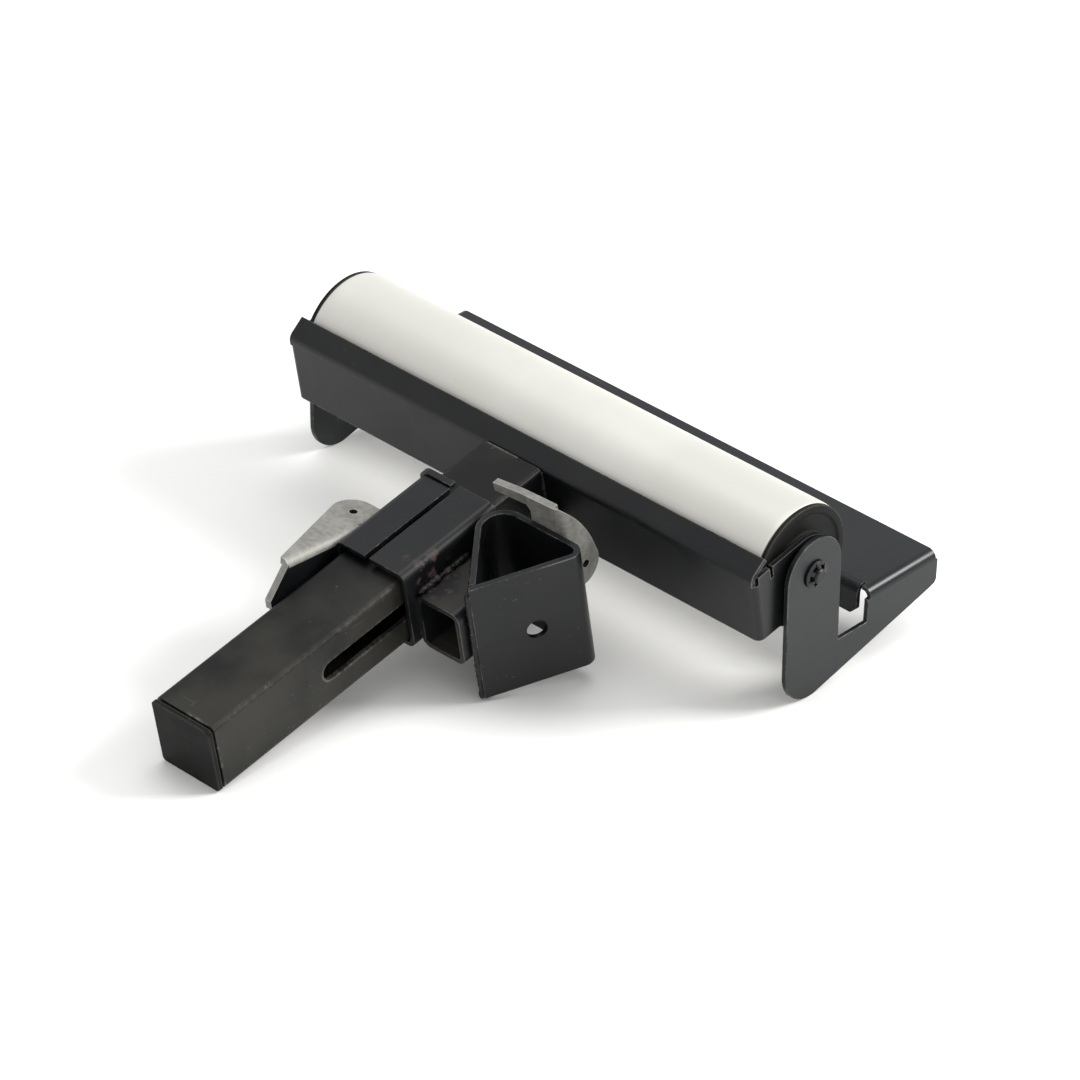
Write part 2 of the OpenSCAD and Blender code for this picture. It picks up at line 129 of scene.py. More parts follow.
class Graph:
    """A short way to write node trees."""

    def __init__(self, tree: bpy.types.NodeTree) -> None:
        """Keeps the node tree to build in."""
        self.tree = tree

    def add(self, kind: str, **settings: object) -> bpy.types.Node:
        """Adds a node.

        Args:
            kind: Blender's node type name.
            settings: the node's own properties, and socket values as s_Socket_Name=value.

        Returns:
            The new node.
        """
        node = self.tree.nodes.new(kind)
        for name, value in settings.items():
            if not name.startswith("s_"):
                setattr(node, name, value)
        for name, value in settings.items():
            if name.startswith("s_"):
                self.feed(node, name[2:].replace("_", " "), value)
        return node

    def feed(self, node: bpy.types.Node, name: str, value: object) -> None:
        """Links a socket into an input, or sets the input's value.

        Args:
            node: the node that takes it.
            name: the input's name, or its number as text.
            value: an output socket or a plain value.
        """
        socket = node.inputs[int(name)] if name.isdigit() else node.inputs[name]
        if isinstance(value, bpy.types.NodeSocket):
            self.tree.links.new(value, socket)
        else:
            socket.default_value = value

    def math(self, how: str, a: object, b: object = 0.0, clamp: bool = False) -> bpy.types.NodeSocket:
        """Adds a Math node.

        Args:
            how: the operation's name.
            a: the first socket or number.
            b: the second socket or number.
            clamp: whether the result stays between 0 and 1.

        Returns:
            The node's output.
        """
        node = self.add("ShaderNodeMath", operation=how, use_clamp=clamp)
        self.feed(node, "0", a)
        self.feed(node, "1", b)
        return node.outputs[0]

    def noise(self, where: object, scale: float, detail: float = 3.0,
              rough: float = 0.5) -> bpy.types.NodeSocket:
        """Returns the value of a Noise Texture at a given scale."""
        return self.add("ShaderNodeTexNoise", s_Vector=where, s_Scale=scale, s_Detail=detail,
                        s_Roughness=rough).outputs["Fac"]

    def band(self, value: object, low: float, high: float) -> bpy.types.NodeSocket:
        """Adds a smooth step.

        Args:
            value: the socket that is stepped.
            low: where the result is still 0.
            high: where the result reaches 1.

        Returns:
            The stepped value.
        """
        node = self.add("ShaderNodeMapRange", interpolation_type="SMOOTHSTEP", s_Value=value)
        self.feed(node, "From Min", low)
        self.feed(node, "From Max", high)
        return node.outputs["Result"]

    def stretch(self, where: object, scale: Sequence[float], turn: Sequence[float] = (0, 0, 0),
                shift: Sequence[float] = (0, 0, 0)) -> bpy.types.NodeSocket:
        """Returns coordinates after a Mapping node."""
        return self.add("ShaderNodeMapping", s_Vector=where, s_Scale=tuple(scale), s_Rotation=tuple(turn),
                        s_Location=tuple(shift)).outputs[0]

    def blend(self, share: object, first: object, second: object) -> bpy.types.NodeSocket:
        """Blends two colours.

        Args:
            share: how much of the second colour shows, from 0 to 1.
            first: a colour or a colour socket.
            second: a colour or a colour socket.

        Returns:
            The blended colour.
        """
        node = self.add("ShaderNodeMix", data_type="RGBA")
        self.feed(node, "0", share)
        for number, value in (("6", first), ("7", second)):
            self.feed(node, number, (*value, 1.0) if isinstance(value, tuple) else value)
        return node.outputs[2]


def new_group(name: str, inputs: dict[str, float],
              outputs: dict[str, str]) -> tuple[Graph, bpy.types.Node, bpy.types.Node]:
    """Starts a shader node group.

    Args:
        name: the group's name.
        inputs: float inputs with their defaults; a Vector input is always added first.
        outputs: output names and socket types.

    Returns:
        The graph, the group's input node and its output node.
    """
    tree = bpy.data.node_groups.new(name, "ShaderNodeTree")
    tree.interface.new_socket("Vector", in_out="INPUT", socket_type="NodeSocketVector")
    for label, value in inputs.items():
        socket = tree.interface.new_socket(label, in_out="INPUT", socket_type="NodeSocketFloat")
        socket.default_value = value
    for label, kind in outputs.items():
        tree.interface.new_socket(label, in_out="OUTPUT", socket_type=kind)
    graph = Graph(tree)
    return graph, graph.add("NodeGroupInput"), graph.add("NodeGroupOutput")


def edge_wear_group() -> bpy.types.NodeTree:
    """Builds the group that masks rubbed edges.

    Returns:
        A group with the inputs Radius, Spread and Grain and the output Mask.
    """
    g, into, out = new_group("edge_wear", {"Radius": 0.0006, "Spread": 0.5, "Grain": 300.0},
                             {"Mask": "NodeSocketFloat"})
    soft = g.add("ShaderNodeBevel", samples=4, s_Radius=into.outputs["Radius"])
    true = g.add("ShaderNodeNewGeometry")
    dot = g.add("ShaderNodeVectorMath", operation="DOT_PRODUCT")
    g.feed(dot, "0", soft.outputs[0])
    g.feed(dot, "1", true.outputs["Normal"])
    corner = g.band(g.math("SUBTRACT", 1.0, dot.outputs["Value"]), 0.01, 0.12)
    fine = g.noise(into.outputs["Vector"], 1.0, 4.0, 0.7)
    g.feed(fine.node, "Scale", into.outputs["Grain"])
    patch = g.noise(into.outputs["Vector"], 45.0, 3.0, 0.6)
    both = g.math("ADD", g.math("MULTIPLY", fine, 0.6), g.math("MULTIPLY", patch, 0.7))
    level = g.math("SUBTRACT", 1.18, g.math("MULTIPLY", into.outputs["Spread"], 0.6))
    keep = g.math("MULTIPLY", g.math("SUBTRACT", both, g.math("SUBTRACT", level, 0.32)), 6.0, True)
    g.feed(out, "Mask", g.math("MULTIPLY", corner, keep, True))
    return g.tree


def dust_group() -> bpy.types.NodeTree:
    """Builds the group that scatters pale specks and faint scuffs.

    Returns:
        A group with the inputs Specks and Scuffs and the output Mask.
    """
    g, into, out = new_group("dust_and_scuffs", {"Specks": 0.5, "Scuffs": 0.5}, {"Mask": "NodeSocketFloat"})
    where = into.outputs["Vector"]
    cells = g.add("ShaderNodeTexVoronoi", s_Vector=where, s_Scale=210.0, s_Randomness=1.0)
    near = g.math("SUBTRACT", 1.0, g.band(cells.outputs["Distance"], 0.05, 0.11))
    chosen = g.band(g.noise(where, 34.0, 2.0), 0.56, 0.64)
    specks = g.math("MULTIPLY", g.math("MULTIPLY", near, chosen), into.outputs["Specks"])
    lines = g.noise(g.stretch(where, (35.0, 700.0, 700.0), (0.5, 0.2, 0.9)), 1.0, 2.0, 0.4)
    cross = g.noise(g.stretch(where, (600.0, 30.0, 600.0), (0.3, 0.7, 0.25)), 1.0, 2.0, 0.4)
    line = g.math("MAXIMUM", g.band(lines, 0.7, 0.76), g.band(cross, 0.72, 0.78))
    zone = g.band(g.noise(where, 18.0, 3.0, 0.6), 0.5, 0.66)
    scuffs = g.math("MULTIPLY", g.math("MULTIPLY", line, zone), into.outputs["Scuffs"])
    g.feed(out, "Mask", g.math("ADD", specks, scuffs, True))
    return g.tree


def skin_group() -> bpy.types.NodeTree:
    """Builds the group for a sprayed or moulded skin.

    Returns:
        A group with the inputs Scale and Cloud and the outputs Height, Cloud and Sheen.
    """
    g, into, out = new_group("skin", {"Scale": 900.0, "Cloud": 26.0},
                             {"Height": "NodeSocketFloat", "Cloud": "NodeSocketFloat",
                              "Sheen": "NodeSocketFloat"})
    where = into.outputs["Vector"]
    fine = g.noise(where, 1.0, 2.0, 0.5)
    g.feed(fine.node, "Scale", into.outputs["Scale"])
    wide = g.noise(where, 1.0, 4.0, 0.55)
    g.feed(wide.node, "Scale", into.outputs["Cloud"])
    streak = g.noise(g.stretch(where, (60.0, 14.0, 60.0)), 1.0, 3.0, 0.6)
    g.feed(out, "Height", g.math("ADD", fine, g.math("MULTIPLY", wide, 0.4)))
    g.feed(out, "Cloud", g.band(wide, 0.35, 0.7))
    g.feed(out, "Sheen", g.band(g.math("ADD", g.math("MULTIPLY", wide, 0.5),
                                       g.math("MULTIPLY", streak, 0.5)), 0.35, 0.68))
    return g.tree


def mill_grain_group() -> bpy.types.NodeTree:
    """Builds the group for dull, mottled mill steel.

    Returns:
        A group with the input Scale and the outputs Mottle and Height.
    """
    g, into, out = new_group("mill_grain", {"Scale": 1.0}, {"Mottle": "NodeSocketFloat",
                                                            "Height": "NodeSocketFloat"})
    scaled = g.add("ShaderNodeVectorMath", operation="SCALE")
    g.feed(scaled, "0", into.outputs["Vector"])
    g.feed(scaled, "Scale", into.outputs["Scale"])
    where = scaled.outputs[0]
    grit = g.noise(where, 1500.0, 2.0, 0.6)
    spots = g.noise(where, 420.0, 3.0, 0.65)
    wide = g.noise(where, 60.0, 4.0, 0.6)
    lines = g.noise(g.stretch(where, (90.0, 1400.0, 1400.0), (0.0, 0.3, 0.4)), 1.0, 2.0, 0.5)
    mix = g.math("ADD", g.math("MULTIPLY", spots, 0.45), g.math("MULTIPLY", wide, 0.4))
    g.feed(out, "Mottle", g.band(g.math("ADD", mix, g.math("MULTIPLY", lines, 0.15)), 0.34, 0.66))
    g.feed(out, "Height", g.math("ADD", grit, g.math("MULTIPLY", lines, 0.5)))
    return g.tree


class Effects:
    """The shared shader groups, each built once."""

    def __init__(self) -> None:
        """Builds every group."""
        self.wear = edge_wear_group()
        self.dust = dust_group()
        self.skin = skin_group()
        self.grain = mill_grain_group()


class Dresser:
    """Starts a material and places shared groups in it."""

    def __init__(self, name: str, effects: Effects) -> None:
        """Makes an empty material.

        Args:
            name: the material's name.
            effects: the shared groups.
        """
        self.material = bpy.data.materials.new(name)
        self.material.use_nodes = True
        self.graph = Graph(self.material.node_tree)
        self.shader = self.material.node_tree.nodes["Principled BSDF"]
        self.effects = effects
        self.where = self.graph.add("ShaderNodeTexCoord").outputs["Object"]

    def group(self, tree: bpy.types.NodeTree, **values: float) -> bpy.types.Node:
        """Places a shared group in the material.

        Args:
            tree: the group.
            values: the group's own values by input name.

        Returns:
            The group's node.
        """
        node = self.graph.add("ShaderNodeGroup", node_tree=tree, s_Vector=self.where)
        for name, value in values.items():
            node.inputs[name].default_value = value
        return node

    def relief(self, height: bpy.types.NodeSocket, depth: float, strength: float) -> None:
        """Feeds a height into the shader's normal."""
        bump = self.graph.add("ShaderNodeBump", s_Height=height, s_Distance=depth, s_Strength=strength)
        self.graph.feed(self.shader, "Normal", bump.outputs[0])


# --- finishes ---------------------------------------------------------------------------------


@dataclass(frozen=True)
class BlackPaint:
    """Satin black paint over steel, rubbed at its edges."""

    name: str = "satin_black_paint"
    base: Colour = (0.0042, 0.0050, 0.0060)
    cloudy: Colour = (0.0080, 0.0086, 0.0084)
    rubbed: Colour = (0.24, 0.23, 0.22)
    dust: Colour = (0.20, 0.195, 0.18)
    rough: float = 0.28
    gloss: float = 0.31
    wear: float = 0.45
    wear_radius: float = 0.0007
    specks: float = 0.5
    scuffs: float = 0.25
    scorch_at: tuple[float, float, float] | None = None
    scorch_reach: float = 0.0125
    scorch_core: float = 0.55
    scorch_ragged: float = 0.020
    soot: Colour = (0.005, 0.0045, 0.005)
    scorch_red: Colour = (0.055, 0.026, 0.020)
    scorch_grey: Colour = (0.075, 0.068, 0.066)

    def scorched(self, d: Dresser, colour: bpy.types.NodeSocket) -> tuple[bpy.types.NodeSocket, object]:
        """Adds the burn that welding leaves in the paint.

        Args:
            d: the material being made.
            colour: the colour so far.

        Returns:
            The new colour and the burn's mask.
        """
        g = d.graph
        away = g.add("ShaderNodeVectorMath", operation="DISTANCE")
        g.feed(away, "0", d.where)
        g.feed(away, "1", self.scorch_at)
        noise = g.math("SUBTRACT", g.noise(d.where, 130.0, 4.0, 0.6), 0.5)
        ragged = g.math("MULTIPLY", noise, self.scorch_ragged)
        reach = g.math("ADD", away.outputs["Value"], ragged)
        core = self.scorch_reach * self.scorch_core
        burn = g.math("SUBTRACT", 1.0, g.band(reach, core, self.scorch_reach))
        flakes = g.band(g.noise(d.where, 210.0, 3.0, 0.6), 0.5, 0.68)
        tint = g.blend(g.noise(d.where, 190.0, 2.0), self.scorch_red, self.scorch_grey)
        soot = g.blend(burn, colour, self.soot)
        mask = g.math("MULTIPLY", burn, flakes)
        return g.blend(mask, soot, tint), mask

    def make(self, effects: Effects) -> bpy.types.Material:
        """Builds the material.

        Args:
            effects: the shared groups.

        Returns:
            The material.
        """
        d = Dresser(self.name, effects)
        g = d.graph
        skin = d.group(effects.skin, Scale=1100.0, Cloud=24.0)
        wear = d.group(effects.wear, Radius=self.wear_radius, Spread=self.wear, Grain=420.0)
        dust = d.group(effects.dust, Specks=self.specks, Scuffs=self.scuffs)
        colour = g.blend(skin.outputs["Cloud"], self.base, self.cloudy)
        colour = g.blend(g.math("MULTIPLY", dust.outputs["Mask"], 0.5), colour, self.dust)
        colour = g.blend(g.math("MULTIPLY", wear.outputs["Mask"], 0.8), colour, self.rubbed)
        rough = g.math("ADD", self.rough, g.math("MULTIPLY", skin.outputs["Sheen"], 0.14))
        if self.scorch_at is not None:
            colour, mask = self.scorched(d, colour)
            rough = g.math("ADD", rough, g.math("MULTIPLY", mask, 0.25))
        rough = g.math("ADD", rough, g.math("MULTIPLY", dust.outputs["Mask"], 0.25), True)
        g.feed(d.shader, "Base Color", colour)
        g.feed(d.shader, "Roughness", rough)
        g.feed(d.shader, "Metallic", g.math("MULTIPLY", wear.outputs["Mask"], 0.5))
        d.shader.inputs["Specular IOR Level"].default_value = self.gloss
        d.relief(skin.outputs["Height"], 0.00003, 0.35)
        return d.material


@dataclass(frozen=True)
class RollerShell:
    """Pale satin tube with fine marks round it."""

    name: str = "pale_roller_shell"
    base: Colour = (0.590, 0.583, 0.540)
    pale: Colour = (0.650, 0.645, 0.605)
    marks: Colour = (0.30, 0.29, 0.26)
    rough: float = 0.42
    metal: float = 0.25

    def make(self, effects: Effects) -> bpy.types.Material:
        """Builds the material.

        Args:
            effects: the shared groups.

        Returns:
            The material.
        """
        d = Dresser(self.name, effects)
        g = d.graph
        skin = d.group(effects.skin, Scale=700.0, Cloud=11.0)
        dust = d.group(effects.dust, Specks=0.9, Scuffs=0.35)
        rings = g.noise(g.stretch(d.where, (900.0, 9.0, 9.0)), 1.0, 3.0, 0.6)
        colour = g.blend(skin.outputs["Cloud"], self.base, self.pale)
        colour = g.blend(g.math("MULTIPLY", g.band(rings, 0.5, 0.8), 0.035), colour, self.marks)
        colour = g.blend(g.math("MULTIPLY", dust.outputs["Mask"], 0.32), colour, self.marks)
        g.feed(d.shader, "Base Color", colour)
        sheen = g.math("MULTIPLY", skin.outputs["Sheen"], 0.1)
        g.feed(d.shader, "Roughness", g.math("ADD", self.rough, sheen))
        d.shader.inputs["Metallic"].default_value = self.metal
        d.relief(g.math("ADD", skin.outputs["Height"], rings), 0.00002, 0.3)
        return d.material


@dataclass(frozen=True)
class BlackPlastic:
    """Moulded black plastic with a fine texture and knocked corners."""

    name: str = "moulded_black_plastic"
    base: Colour = (0.0030, 0.0032, 0.0032)
    pale: Colour = (0.0095, 0.0096, 0.0084)
    rubbed: Colour = (0.09, 0.088, 0.08)
    rough: float = 0.5
    gloss: float = 0.13
    wear: float = 0.62

    def make(self, effects: Effects) -> bpy.types.Material:
        """Builds the material.

        Args:
            effects: the shared groups.

        Returns:
            The material.
        """
        d = Dresser(self.name, effects)
        g = d.graph
        d.shader.inputs["Specular IOR Level"].default_value = self.gloss
        skin = d.group(effects.skin, Scale=1700.0, Cloud=60.0)
        wear = d.group(effects.wear, Radius=0.0008, Spread=self.wear, Grain=500.0)
        dust = d.group(effects.dust, Specks=0.7, Scuffs=0.6)
        colour = g.blend(skin.outputs["Cloud"], self.base, self.pale)
        colour = g.blend(g.math("MULTIPLY", dust.outputs["Mask"], 0.35), colour, self.rubbed)
        colour = g.blend(wear.outputs["Mask"], colour, self.rubbed)
        g.feed(d.shader, "Base Color", colour)
        sheen = g.math("MULTIPLY", skin.outputs["Sheen"], 0.15)
        g.feed(d.shader, "Roughness", g.math("ADD", self.rough, sheen))
        d.relief(skin.outputs["Height"], 0.00004, 0.6)
        return d.material


@dataclass(frozen=True)
class BareSteel:
    """Uncoated steel, from dull cut plate to bright fasteners."""

    name: str
    dark: Colour
    light: Colour
    rough: float
    metal: float = 0.8
    relief: float = 0.5
    wear: float = 0.5
    scale: float = 1.0
    rubbed_by: float = 2.0
    dirt_by: float = 0.45

    def make(self, effects: Effects) -> bpy.types.Material:
        """Builds the material.

        Args:
            effects: the shared groups.

        Returns:
            The material.
        """
        d = Dresser(self.name, effects)
        g = d.graph
        grain = d.group(effects.grain, Scale=self.scale)
        wear = d.group(effects.wear, Radius=0.0005, Spread=self.wear, Grain=380.0)
        dust = d.group(effects.dust, Specks=0.4, Scuffs=0.5)
        bright = tuple(min(1.0, self.rubbed_by * c) for c in self.light)
        deep = tuple(self.dirt_by * c for c in self.dark)
        colour = g.blend(grain.outputs["Mottle"], self.dark, self.light)
        colour = g.blend(g.math("MULTIPLY", dust.outputs["Mask"], 0.45), colour, deep)
        colour = g.blend(g.math("MULTIPLY", wear.outputs["Mask"], 0.7), colour, bright)
        g.feed(d.shader, "Base Color", colour)
        mottle = g.math("MULTIPLY", grain.outputs["Mottle"], 0.12)
        g.feed(d.shader, "Roughness", g.math("ADD", self.rough, mottle))
        d.shader.inputs["Metallic"].default_value = self.metal
        d.relief(grain.outputs["Height"], 0.00004, self.relief)
        return d.material


@dataclass(frozen=True)
class FloorFinish:
    """Plain pale floor."""

    name: str = "pale_floor"
    base: Colour = (0.92, 0.918, 0.905)
    shade_by: float = 0.985
    rough: float = 0.7
    gloss: float = 0.3

    def make(self, effects: Effects) -> bpy.types.Material:
        """Builds the material.

        Args:
            effects: the shared groups.

        Returns:
            The material.
        """
        d = Dresser(self.name, effects)
        skin = d.group(effects.skin, Scale=300.0, Cloud=3.0)
        shade = tuple(self.shade_by * c for c in self.base)
        d.graph.feed(d.shader, "Base Color", d.graph.blend(skin.outputs["Cloud"], shade, self.base))
        d.shader.inputs["Roughness"].default_value = self.rough
        d.shader.inputs["Specular IOR Level"].default_value = self.gloss
        return d.material


# --- mesh helpers -----------------------------------------------------------------------------


@dataclass
class BarFrame:
    """The bar's own axes: x along the roller, y along the bar, z up from its top face."""

    axle: Vector = field(init=False)
    turn: Matrix = field(init=False)

    def __post_init__(self) -> None:
        """Reads the axle and the bar's direction from the joints."""
        joints = {j["name"]: j for j in frame["joints"]}
        self.axle = Vector(joints["roller_spin"]["pos_m"])
        along = -Vector(joints["sleeve_slide"]["axis"]).normalized()
        self.turn = Matrix.Rotation(math.atan2(along.z, along.y), 4, "X")

    @property
    def matrix(self) -> Matrix:
        """From the bar's axes, in millimetres, to the row frame in metres."""
        return Matrix.Translation(self.axle) @ self.turn @ Matrix.Scale(MM, 4)

    def point(self, x: float, y: float, z: float) -> Vector:
        """A place given in the bar's millimetres, in the row frame."""
        return self.matrix @ Vector((x, y, z))


def smooth_by_angle(bm: bmesh.types.BMesh, degrees: float = 32.0) -> None:
    """Smooths every face and keeps the sharper edges.

    Args:
        bm: the shape.
        degrees: edges with a larger angle stay sharp.
    """
    for face in bm.faces:
        face.smooth = True
    for edge in bm.edges:
        edge.smooth = len(edge.link_faces) == 2 and edge.calc_face_angle(0.0) < math.radians(degrees)


def finished(name: str, bm: bmesh.types.BMesh, body: str,
             finishes: Sequence[bpy.types.Material], replaces: Sequence[str] = ()) -> bpy.types.Object:
    """Turns a bmesh into a piece that rides on a body.

    Args:
        name: the piece's name.
        bm: its shape in the row frame, in metres. It is freed.
        body: the CAD body it moves with.
        finishes: its materials.
        replaces: the CAD nodes it stands for.

    Returns:
        The new object.
    """
    mesh = bpy.data.meshes.new(name)
    bm.to_mesh(mesh)
    bm.free()
    piece = bpy.data.objects.new(name, mesh)
    bpy.context.scene.collection.objects.link(piece)
    for finish in finishes:
        mesh.materials.append(finish)
    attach(piece, body)
    if replaces:
        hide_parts(*replaces)
    LOG.info("%s: %d faces on %s", name, len(mesh.polygons), body)
    return piece


def lathe(bm: bmesh.types.BMesh, profile: Sequence[tuple[float, float]], steps: int = 96) -> None:
    """Spins a closed outline round the X axis.

    Args:
        bm: where the shape goes.
        profile: (x, radius) corners, in order round the outline.
        steps: divisions of the full turn.
    """
    corners = [bm.verts.new((x, 0.0, r)) for x, r in profile]
    edges = [bm.edges.new((a, b)) for a, b in zip(corners, corners[1:] + corners[:1], strict=True)]
    bmesh.ops.spin(bm, geom=corners + edges, cent=(0, 0, 0), axis=(1, 0, 0), angle=TURN,
                   steps=steps, use_merge=True)
    bmesh.ops.remove_doubles(bm, verts=bm.verts[:], dist=SPIN_MERGE)
    bmesh.ops.recalc_face_normals(bm, faces=bm.faces[:])


def rounded(corners: Sequence[tuple[float, float, float]], steps: int = 4) -> list[tuple[float, float]]:
    """Rounds the corners of a closed outline.

    Args:
        corners: (x, y, radius) of each corner, radius 0 for a sharp one.
        steps: segments of each round.

    Returns:
        The outline's points.
    """
    points: list[tuple[float, float]] = []
    for i, (x, y, radius) in enumerate(corners):
        here = Vector((x, y))
        if radius == 0:
            points.append((x, y))
            continue
        before = Vector(corners[i - 1][:2]) - here
        after = Vector(corners[(i + 1) % len(corners)][:2]) - here
        start, end = here + before.normalized() * radius, here + after.normalized() * radius
        for k in range(steps + 1):
            t = k / steps
            at = start * (1 - t) ** 2 + here * 2 * t * (1 - t) + end * t ** 2
            points.append((at.x, at.y))
    return points


def mount_hole(name: str) -> tuple[Vector, Vector, float]:
    """Middle, axis and radius in metres of a bore mount of the record."""
    mount = next(m for m in frame["record"]["mounts"] if m["name"] == name)
    return Vector(mount["pos_m"]), Vector(mount["axis"]), mount["dims"]["r_mm"] * MM


@dataclass
class SoftEdged:
    """A CAD piece remade with its edges broken, as a deburred and painted piece has them."""

    node: str
    body: str
    slot: Slot
    edge: float = 0.35
    segments: int = 2
    hole: tuple[Vector, Vector, float] | None = None
    # faces turned this way take the third finish: on the spacer a lighter paint that is painted highlight on its
    # top, on the lever the black paint
    recoloured_side: Vector | None = None
    bore_reach: float = 1.04
    bore_lean: float = 0.3
    facing: float = 0.98

    def reshape(self, bm: bmesh.types.BMesh) -> None:
        """Changes the merged copy before its edges are broken; a plain piece stays as it is."""

    def areas(self, bm: bmesh.types.BMesh) -> None:
        """Gives the faces inside the hole a near-black painted shade, and those on the recoloured side another
        finish.

        Args:
            bm: the piece's shape.
        """
        for face in bm.faces:
            centre = face.calc_center_median()
            if self.hole is not None:
                middle, axis, radius = self.hole
                across = abs(face.normal.dot(axis)) < self.bore_lean
                if across and (centre - middle).cross(axis).length < radius * self.bore_reach:
                    # faces inside the hole take a near-black finish: painted shade in the hole
                    face.material_index = Area.BORE.value
            # faces on the recoloured side take the third finish, which on the spacer is painted highlight
            if self.recoloured_side is not None and face.normal.dot(self.recoloured_side) > self.facing:
                face.material_index = Area.MASKED.value

    def build(self, finishes: Sequence[bpy.types.Material]) -> bpy.types.Object:
        """Copies the CAD mesh, merges it and rounds its edges.

        Args:
            finishes: the piece's own finish, the painted shade for the bore and the finish of the recoloured side.

        Returns:
            The piece, which replaces its node.
        """
        bm = bmesh.new()
        bm.from_mesh(frame["nodes"][self.node].data)
        bmesh.ops.remove_doubles(bm, verts=bm.verts[:], dist=MERGE)
        bmesh.ops.dissolve_limit(bm, angle_limit=FLAT, verts=bm.verts[:], edges=bm.edges[:])
        self.reshape(bm)
        sharp = [e for e in bm.edges if len(e.link_faces) == 2 and e.calc_face_angle(0.0) > SHARP]
        bmesh.ops.bevel(bm, geom=sharp, offset=self.edge * MM, offset_type="OFFSET", affect="EDGES",
                        segments=self.segments, profile=0.5, clamp_overlap=True, material=-1)
        self.areas(bm)
        smooth_by_angle(bm, SKIN_ANGLE)
        piece = finished(f"{self.node}_skin", bm, self.body, finishes, [self.node])
        tidy = piece.modifiers.new("weighted_normals", "WEIGHTED_NORMAL")
        tidy.keep_sharp = True
        return piece


@dataclass
class BarPlug(SoftEdged):
    """The bar's end plug, its head standing a little off the bar's end."""

    bar: BarFrame = field(default_factory=BarFrame)
    head_back: float = -204.0
    tongue_half: float = 13.2
    stand_off: float = 0.9
    near: float = 0.1

    def reshape(self, bm: bmesh.types.BMesh) -> None:
        """Moves the rim of the head's back face off the bar.

        Args:
            bm: the plug's merged shape.
        """
        to_bar = self.bar.matrix.inverted()
        rim = []
        for vert in bm.verts:
            at = to_bar @ vert.co
            outside = max(abs(at.x), abs(at.z)) > self.tongue_half
            if outside and abs(at.y - self.head_back) < self.near:
                rim.append(vert)
        shift = self.bar.point(0, -self.stand_off, 0) - self.bar.point(0, 0, 0)
        bmesh.ops.translate(bm, vec=shift, verts=rim)


# --- sub-assemblies ---------------------------------------------------------------------------


@dataclass
class Roller:
    """The turning roller: tube and two end caps."""

    bar: BarFrame
    radius: float = 25.0
    wall: float = 2.5
    crimp: float = 0.25
    crimp_len: float = 1.6
    crimp_r: float = 0.6
    shoulder_r: float = 1.0
    tube_steps: int = 128
    cap_steps: int = 96
    soft_r: float = 0.4
    flange_r: float = 0.7
    cap_lip: float = 0.3
    cap_t: float = 2.0
    rim_w: float = 3.0
    dish: float = 0.7
    slope: float = 0.8
    hub_r: float = 13.5
    seat_r: float = 9.5
    seat_floor: float = 5.5
    hub_wall: float = 2.5
    web: float = 2.6
    skirt_wall: float = 2.0
    skirt_fit: float = 0.05

    @property
    def half(self) -> float:
        """Half the tube's length, from the frame."""
        low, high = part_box("roller_tube")
        return (high.x - low.x) / 2 / MM

    def placed(self, bm: bmesh.types.BMesh) -> bmesh.types.BMesh:
        """Moves a shape from the axle's own millimetres to the row frame."""
        bm.transform(Matrix.Translation(self.bar.axle) @ Matrix.Scale(MM, 4))
        return bm

    def tube(self, finish: bpy.types.Material) -> bpy.types.Object:
        """Spins the tube, with its ends rolled in a little over the caps.

        Args:
            finish: the tube's material.

        Returns:
            The tube.
        """
        end, r, inner = self.half, self.radius, self.radius - self.wall
        shoulder, rolled = end - self.crimp_len, r - self.crimp
        outline = [(-end, inner, self.soft_r), (-end, rolled, self.crimp_r),
                   (-shoulder, r, self.shoulder_r), (shoulder, r, self.shoulder_r),
                   (end, rolled, self.crimp_r), (end, inner, self.soft_r)]
        bm = bmesh.new()
        lathe(bm, rounded(outline), self.tube_steps)
        smooth_by_angle(bm)
        return finished("roller_tube_shell", self.placed(bm), "roller", [finish],
                        ["roller_tube"])

    def cap(self, side: Side, finish: bpy.types.Material) -> bpy.types.Object:
        """Spins one moulded end cap: flange, dished face, hub and skirt.

        Args:
            side: which end of the roller it closes.
            finish: the cap's material.

        Returns:
            The cap.
        """
        low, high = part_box(f"cap_{side.word}")
        outer = max(abs(low.x), abs(high.x)) / MM
        skirt = min(abs(low.x), abs(high.x)) / MM
        face, flange = outer, self.radius - self.cap_lip
        inner, r = self.radius - self.wall, self.soft_r
        rim, low_face = flange - self.rim_w, face - self.dish
        back, web, hub = face - self.cap_t, face - self.web, self.seat_r + self.hub_wall
        seat_floor, fit_r = skirt + self.seat_floor, inner - self.skirt_fit
        outline = [(face, flange, self.flange_r), (face, rim, r), (low_face, rim - self.slope, r),
                   (low_face, self.hub_r + self.slope, r), (face, self.hub_r, r), (face, self.seat_r, r),
                   (seat_floor, self.seat_r, 0.0), (seat_floor, hub, r), (web, hub, r),
                   (web, inner - self.skirt_wall, r), (skirt, inner - self.skirt_wall, r),
                   (skirt, fit_r, r), (back, fit_r, 0.0), (back, flange, r)]
        bm = bmesh.new()
        lathe(bm, rounded(outline, 3), self.cap_steps)
        if side is Side.LEFT:
            bmesh.ops.mirror(bm, geom=bm.verts[:] + bm.edges[:] + bm.faces[:], axis="X", merge_dist=-1.0)
            bmesh.ops.delete(bm, geom=[v for v in bm.verts if v.co.x > 0], context="VERTS")
            bmesh.ops.recalc_face_normals(bm, faces=bm.faces[:])
        smooth_by_angle(bm)
        name = f"cap_{side.word}"
        return finished(f"{name}_moulding", self.placed(bm), "roller", [finish], [name])


